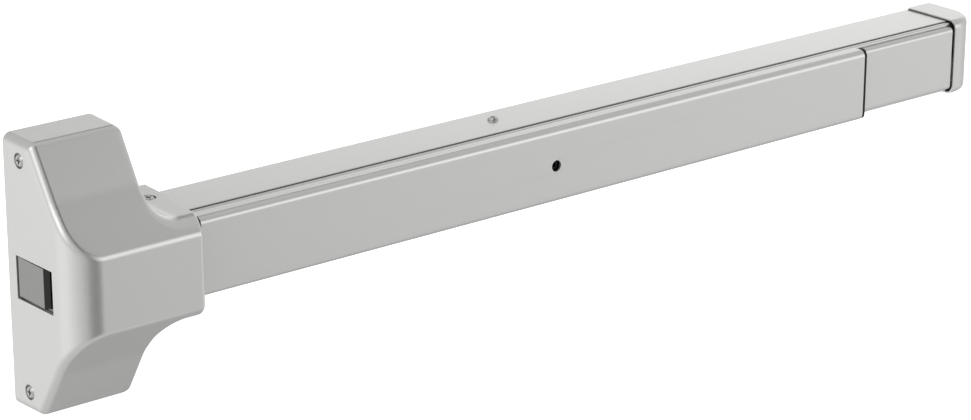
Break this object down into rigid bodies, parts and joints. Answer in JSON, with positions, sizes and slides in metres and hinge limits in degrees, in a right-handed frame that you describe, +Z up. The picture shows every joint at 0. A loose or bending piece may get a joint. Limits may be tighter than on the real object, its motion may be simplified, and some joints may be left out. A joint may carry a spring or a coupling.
{
  "type": "panic bar",
  "caption": "Panic exit bar for a door: a cast head with a bevelled latch bolt, a push bar in a long rail, a filler plate and an end cap.",
  "frame": {"origin": "centre of the head's four fixing holes, on the door's surface", "axes": "+X along the rail away from the latch, +Y into the door, +Z up"},
  "size_m": [0.9389, 0.085, 0.204],
  "materials": {
    "silver_casting": "satin",
    "silver_extrusion": "satin",
    "zinc_steel": "satin",
    "bolt_steel": "satin",
    "screw_steel": "satin",
    "black_plastic": "matte"
  },
  "bodies": {
    "device": {"head_cover": "silver_casting", "head_chassis": "zinc_steel", "latch_case": "zinc_steel", "base_rail": "silver_extrusion", "rail_joiners": "zinc_steel", "rail_rivets": "zinc_steel", "crank_brackets": "zinc_steel", "pivot_pins": "bolt_steel", "dogging_keeper": "zinc_steel", "filler_plate": "silver_extrusion", "end_cap": "silver_casting", "end_bracket": "zinc_steel", "side_screws": "screw_steel", "box_screws": "screw_steel", "keeper_screws": "screw_steel", "case_screws": "screw_steel", "cap_screw": "screw_steel"},
    "bar": {"push_bar": "silver_extrusion", "near_insert": "black_plastic", "far_insert": "black_plastic", "bar_hangers": "zinc_steel", "spindle_holder": "black_plastic"},
    "latch": {"latch_bolt": "bolt_steel", "bolt_pin": "zinc_steel"},
    "linkage": {"actuator_rod": "zinc_steel"},
    "near_bell_crank": {"near_crank": "zinc_steel", "near_link_pins": "bolt_steel"},
    "far_bell_crank": {"far_crank": "zinc_steel", "far_link_pins": "bolt_steel"},
    "dogging": {"dogging_spindle": "bolt_steel"}
  },
  "joints": [
    {"name": "bar_push", "type": "slide", "parent": "device", "child": "bar", "axis": [0, -1, 0], "range_m": [0, 0.019]},
    {"name": "latch_throw", "type": "slide", "parent": "device", "child": "latch", "axis": [-1, 0, 0], "range_m": [0, 0.019]},
    {"name": "rod_slide", "type": "slide", "parent": "device", "child": "linkage", "axis": [-1, 0, 0], "range_m": [0, 0.019]},
    {"name": "near_crank_turn", "type": "hinge", "parent": "device", "child": "near_bell_crank", "pos_m": [0.19, -0.039, 0], "axis": [0, 0, 1], "range_deg": [0, 37]},
    {"name": "far_crank_turn", "type": "hinge", "parent": "device", "child": "far_bell_crank", "pos_m": [0.64, -0.039, 0], "axis": [0, 0, 1], "range_deg": [0, 37]},
    {"name": "dogging_turn", "type": "hinge", "parent": "bar", "child": "dogging", "pos_m": [0.4156, 0, 0], "axis": [0, 1, 0], "range_deg": [0, 90]}
  ],
  "couplings": [
    {"joint": "latch_throw", "follows": "bar_push", "ratio": 1},
    {"joint": "rod_slide", "follows": "bar_push", "ratio": 1},
    {"joint": "near_crank_turn", "follows": "bar_push", "rad_per_m": 33.92},
    {"joint": "far_crank_turn", "follows": "bar_push", "rad_per_m": 33.92}
  ]
}
